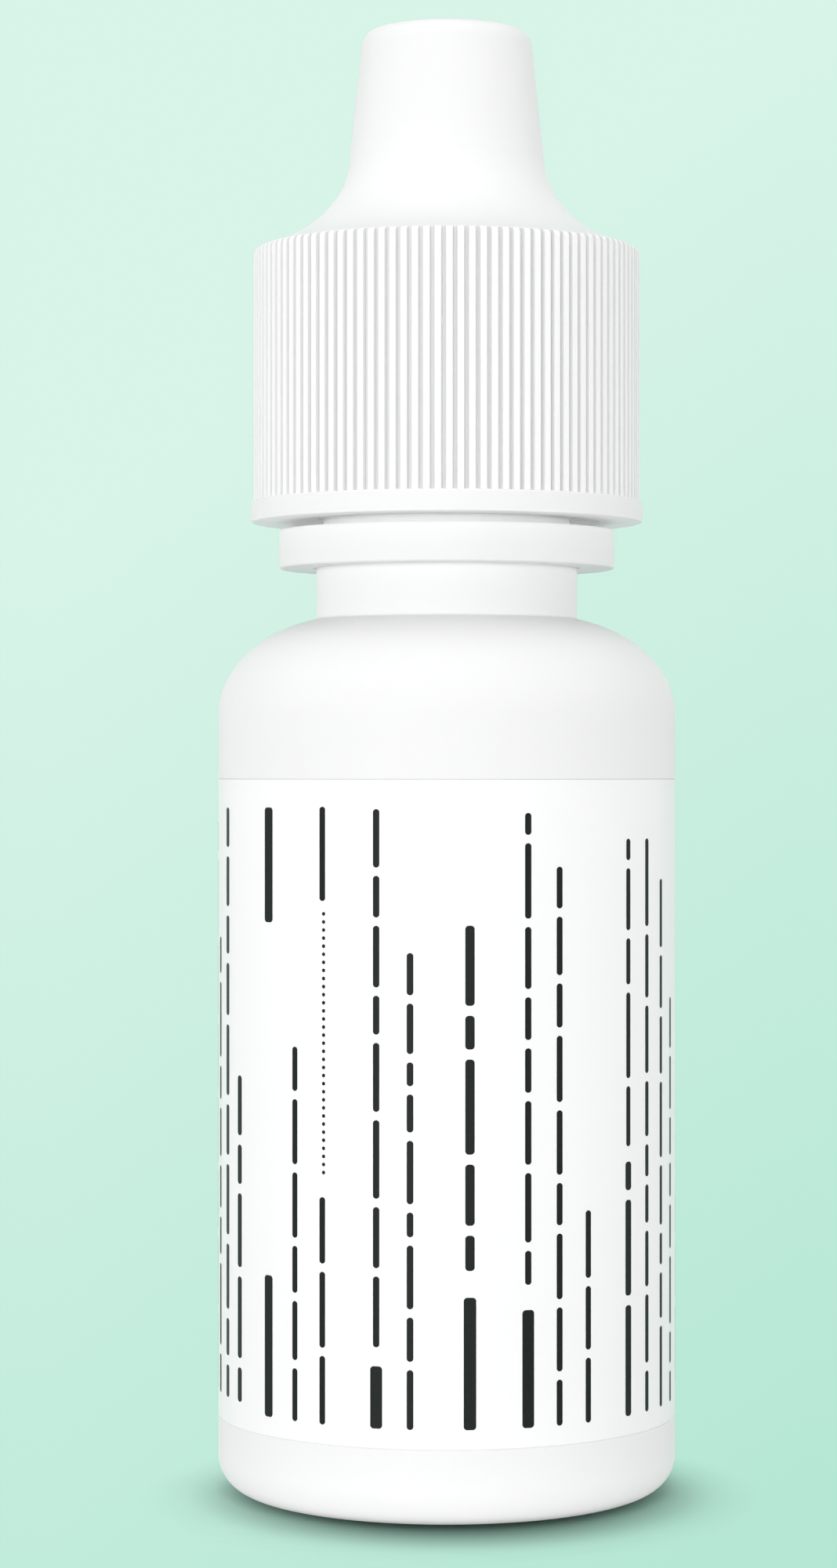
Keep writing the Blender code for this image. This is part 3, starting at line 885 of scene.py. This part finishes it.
def mouldedPlastic(nodes, look):
    # White moulded plastic: broad cloudiness in the colour, uneven gloss, and a fine satin grain
    # over a slow waviness of the surface. Painted light on top: a painted highlight makes rib
    # crests whiter, the places that cap and collar cover are painted whiter against the shade in
    # the gap, and grooves are painted darker as shade.
    cloud = nodes.noise(look["cloudSize"], detail=3.0) * look["cloudShare"]
    speck = nodes.noise(look["speckSize"], detail=1.0) * (1 - look["cloudShare"])
    colour = nodes.mixed(cloud + speck, look["dark"], look["pale"])
    for zone in ("covered", "crest", "groove"):
        if zone in look:
            share = nodes.add("ShaderNodeAttribute", {"attribute_name": zone}, output="Fac")
            colour = nodes.mixed(share, colour, look[zone])
    gloss = nodes.noise(look["glossSize"], detail=4.0)
    grain = nodes.noise(look["grainSize"], detail=3.0, roughness=0.6)
    wave = nodes.noise(look["waveSize"], detail=1.0, stretch=look["waveStretch"])
    depth = look["grainDepth"] + look["waveDepth"]
    relief = grain * (look["grainDepth"] / depth) + wave * (look["waveDepth"] / depth)
    return colour, gloss, relief, depth


plasticLook = {
    "dark": (0.889, 0.89, 0.891),
    "pale": (0.913, 0.913, 0.913),
    "cloudSize": 6.0,
    "cloudShare": 0.8,          # the rest of the colour's change is specks
    "speckSize": 0.5,
    "grainSize": 0.16,
    "grainDepth": 0.0012,
    "waveSize": 5.0,
    "waveDepth": 0.012,
    "waveStretch": (1, 1, 0.5),
    "glossSize": 1.6,
    "glossSpread": 0.1,
    "roughness": 0.48,
    "ior": 1.5,
    "shine": 0.2,
}
# Painted light: the neck under cap and collar is painted whiter against the shade in the gap.
bottleLook = {**plasticLook, "covered": (0.998, 0.998, 0.998)}
collarLook = {
    **bottleLook,
    "dark": (0.924, 0.925, 0.926),
    "pale": (0.938, 0.938, 0.938),
    "cloudSize": 3.0,
    "grainSize": 0.12,
    "grainDepth": 0.001,
    "waveDepth": 0.004,
    "roughness": 0.45,
}
capLook = {
    **collarLook,
    "dark": (0.906, 0.907, 0.908),
    "pale": (0.92, 0.92, 0.92),
    # A painted highlight on the rib crests, and painted shade in the grooves.
    "crest": (0.99, 0.99, 0.99),
    "groove": (0.79, 0.79, 0.79),
}
tipLook = {**plasticLook, "dark": (0.87, 0.872, 0.86), "pale": (0.9, 0.9, 0.885), "roughness": 0.45}

setFinish(bottle, "bottlePlastic", mouldedPlastic, bottleLook)
setFinish(collar, "collarPlastic", mouldedPlastic, collarLook)
setFinish(cap, "capPlastic", mouldedPlastic, capLook)
setFinish(tip, "tipPlastic", mouldedPlastic, tipLook)

labelLook = {
    "dark": (0.975, 0.975, 0.975),
    "pale": (0.995, 0.995, 0.995),
    "fibreSize": 0.35,
    "fibreStretch": (1, 1, 0.35),
    "fibreDepth": 0.0015,
    "mottleSize": 2.5,
    "mottleShare": 0.6,         # the rest of the colour's change is fibres
    "glossSpread": 0.08,
    "roughness": 0.36,
    "ior": 1.46,
    "shine": 0.3,
}
inkLook = {
    "dark": (0.008, 0.008, 0.009),
    "pale": (0.015, 0.015, 0.016),
    "thinSize": 0.22,
    "depth": 0.001,
    "glossSpread": 0.15,
    "roughness": 0.45,
    "ior": 1.46,
    "shine": 0.2,
}


def coatedFilm(nodes, look):
    # Coated film: faint fibres that run up the sheet, in the colour, the gloss and the relief.
    fibre = nodes.noise(look["fibreSize"], detail=4.0, roughness=0.65, stretch=look["fibreStretch"])
    mottle = nodes.noise(look["mottleSize"])
    shade = mottle * look["mottleShare"] + fibre * (1 - look["mottleShare"])
    return nodes.mixed(shade, look["dark"], look["pale"]), fibre, fibre, look["fibreDepth"]


def printedInk(nodes, look):
    # Ink on film: near black, a little thinner in places.
    thin = nodes.noise(look["thinSize"])
    return nodes.mixed(thin, look["dark"], look["pale"]), thin, thin, look["depth"]


setFinish(label, "labelFilm", coatedFilm, labelLook)
setFinish(ink, "labelInk", printedInk, inkLook)
print("finishes set")

# The floor: a disc that fades into the background.
floorLook = {
    "level": -0.01,             # a hair below the base
    "middleRadius": 10.0,       # of the innermost ring
    "radius": 60.0,
    "rings": 6,
    "columns": 96,
    "paint": (0.57, 0.903, 0.767),
    "paintRight": (0.511, 0.852, 0.71),
    "paintReach": 15.0,         # to either side, over which one paint turns into the other
    "roughness": 0.9,
    "bounce": 0.78,             # how pale the floor is for light on its way
    "fadeFrom": 13.5,
    "fadeTo": 19.0,
    "lightHole": 10.2,          # radius within which light passes
    "lightHoleEdge": 1.0,
    # A painted shadow round the base, centred a little in front of it.
    "shadeCentre": (0.3, -2.5, 0),
    "shadeFrom": 8.0,
    "shadeTo": 16.5,
    "shadeDepth": 0.9,
    "shadeNarrowing": 1.1,
}


def showsBackground(nodes):
    # 1 for what the camera sees, directly, in a reflection or through glass, and 0 for light on its
    # way.
    seen = sum(nodes.add("ShaderNodeLightPath", output=f"Is {ray} Ray")
               for ray in ("Camera", "Glossy", "Transmission"))
    return nodes.maths("MINIMUM", seen, 1.0)


def makeFloor(look):
    # Rings (r cos a, r sin a, level) round a middle point. The paint fades out away from the
    # bottle, with a soft shadow painted into it where the bottle stands on it. The disc can't be
    # seen from below, and light reaches the bottle's base through it.
    def metres(name):
        return look[name] * metresPerMillimetre

    columns = look["columns"]
    radii = np.linspace(look["middleRadius"], look["radius"], look["rings"])
    path = np.stack([radii, np.full_like(radii, look["level"])], axis=1)
    rings = turnedPoints(path, evenAngles(columns))
    points = np.concatenate([rings.reshape(-1, 3), [[0, 0, look["level"]]]])
    floor = meshFrom("studioFloor", points, gridFaces(len(radii), columns)[:, ::-1],
                     poleFaces(len(radii) * columns, np.arange(columns), True))

    material, nodes = newMaterial("floorPaint")
    point = nodes.objectPlace()
    centre = tuple(value * metresPerMillimetre for value in look["shadeCentre"])
    narrow = nodes.vectorMaths("MULTIPLY", point, (look["shadeNarrowing"], 1, 1))
    fromShade = nodes.vectorMaths("DISTANCE", narrow, centre, output="Value")
    # Painted shadow: the paint darkens round the base, most in front of it.
    shade = nodes.ramp(fromShade, metres("shadeFrom"), metres("shadeTo"), look["shadeDepth"], 0.0)
    sideways = nodes.add("ShaderNodeSeparateXYZ", {}, {0: point}, output="X")
    toRight = nodes.ramp(sideways, -metres("paintReach"), metres("paintReach"))
    paint = nodes.mixed(shade, nodes.mixed(toRight, look["paint"], look["paintRight"]), (0, 0, 0))
    seen = showsBackground(nodes)
    painted = nodes.add("ShaderNodeBsdfPrincipled", {}, {
        "Base Color": nodes.mixed(seen, (look["bounce"],) * 3, paint),
        "Roughness": look["roughness"],
        "Specular IOR Level": 0.0,
    })

    # The fade is scattered in grain finer than a pixel, which leaves no ring where it begins or
    # ends.
    grain = nodes.add("ShaderNodeTexWhiteNoise", {"noise_dimensions": "3D"}, {"Vector": point},
                      output="Value")
    faded = nodes.ramp(fromShade, metres("fadeFrom"), metres("fadeTo"))
    fade = nodes.maths("LESS_THAN", grain, faded)
    below = nodes.add("ShaderNodeNewGeometry", output="Backfacing")
    fromAxis = nodes.vectorMaths("LENGTH", point, output="Value")
    holeEdge = metres("lightHole") + metres("lightHoleEdge")
    underBase = nodes.ramp(fromAxis, metres("lightHole"), holeEdge, 1.0, 0.0) * (1 - seen)
    openness = nodes.maths("MAXIMUM", nodes.maths("MAXIMUM", fade, below), underBase)
    clear = nodes.add("ShaderNodeBsdfTransparent")
    shader = nodes.add("ShaderNodeMixShader", {}, {0: openness, 1: painted, 2: clear})
    nodes.add("ShaderNodeOutputMaterial", {}, {"Surface": shader})
    dress(floor, material)


makeFloor(floorLook)

# The background is pale mint, deeper below and to the right. The light round it is neutral.
worldLook = {
    "mintPale": (0.686, 0.905, 0.807),
    "mintDeep": (0.451, 0.791, 0.651),
    "across": (-0.1, 0.09, 0.0, 0.33),          # from and to, and how deep the mint is at each
    "down": (0.2, -0.206, -0.345, 0.66),
    "ambient": 0.382,
    "horizonGlow": 4.15,
    "horizonBand": (0.02, 0.1),
    "overheadGlow": 0.615,
    "overheadBand": (0.7, 0.9),
}


def makeWorld(look):
    # Light from all round, stronger overhead and in a ring at the horizon, which reaches into the
    # narrow gaps. The camera sees the mint instead.
    world = bpy.data.worlds.new("studioWorld")
    bpy.context.scene.world = world
    world.use_nodes = True
    nodes = Nodes(world.node_tree)
    direction = nodes.add("ShaderNodeTexCoord", output="Generated")
    rightwards, upwards = (nodes.add("ShaderNodeSeparateXYZ", {}, {0: direction}, output=axis)
                           for axis in "XZ")
    deepening = (nodes.ramp(rightwards, *look["across"], kind="LINEAR")
                 + nodes.ramp(upwards, *look["down"], kind="LINEAR"))
    backdrop = nodes.mixed(deepening, look["mintPale"], look["mintDeep"])
    steep = nodes.maths("ABSOLUTE", upwards)
    horizon = nodes.ramp(steep, *look["horizonBand"], look["horizonGlow"], 0.0)
    overhead = nodes.ramp(steep, *look["overheadBand"], 0.0, look["overheadGlow"])
    colour = nodes.mixed(showsBackground(nodes), horizon + overhead + look["ambient"], backdrop)
    background = nodes.add("ShaderNodeBackground", {}, {0: colour})
    nodes.add("ShaderNodeOutputWorld", {}, {"Surface": background})


makeWorld(worldLook)

lamps = {
    "keyLamp": {"at": (-125, -450, 38), "aim": (0, 0, 42), "size": (460, 110), "watts": 0.61},
    "topLamp": {"at": (0, -145, 520), "aim": (0, 0, 42), "size": (300, 300), "watts": 0.465},
}


def makeLamp(name, lamp):
    light = bpy.data.lights.new(name, "AREA")
    light.shape = "RECTANGLE"
    light.size, light.size_y = (side * metresPerMillimetre for side in lamp["size"])
    light.energy = lamp["watts"]
    holder = bpy.data.objects.new(name, light)
    bpy.context.scene.collection.objects.link(holder)
    holder.location = Vector(lamp["at"]) * metresPerMillimetre
    towards = Vector(lamp["aim"]) * metresPerMillimetre - holder.location
    holder.rotation_euler = towards.to_track_quat("-Z", "Y").to_euler()


for name, lamp in lamps.items():
    makeLamp(name, lamp)

cameraLook = {
    "at": (0, -212.3, 39.3),
    "sensor": 36,
    "lens": 89.1,
    "shift": (-0.018, -0.01),
    "clipStart": 10,
}


def makeCamera(look):
    data = bpy.data.cameras.new("photoCamera")
    data.sensor_width = look["sensor"]
    data.sensor_fit = "AUTO"
    data.lens = look["lens"]
    data.shift_x, data.shift_y = look["shift"]
    data.clip_start = look["clipStart"] * metresPerMillimetre
    camera = bpy.data.objects.new("photoCamera", data)
    bpy.context.scene.collection.objects.link(camera)
    camera.location = Vector(look["at"]) * metresPerMillimetre
    camera.rotation_euler = (math.pi / 2, 0, 0)
    bpy.context.scene.camera = camera


makeCamera(cameraLook)
bpy.context.scene.view_settings.view_transform = "Standard"
# Light reaches the narrow gaps between white parts only after many bounces.
lightBounces = 32
bpy.context.scene.cycles.max_bounces = lightBounces
bpy.context.scene.cycles.diffuse_bounces = lightBounces
print("stage, lamps and camera set")
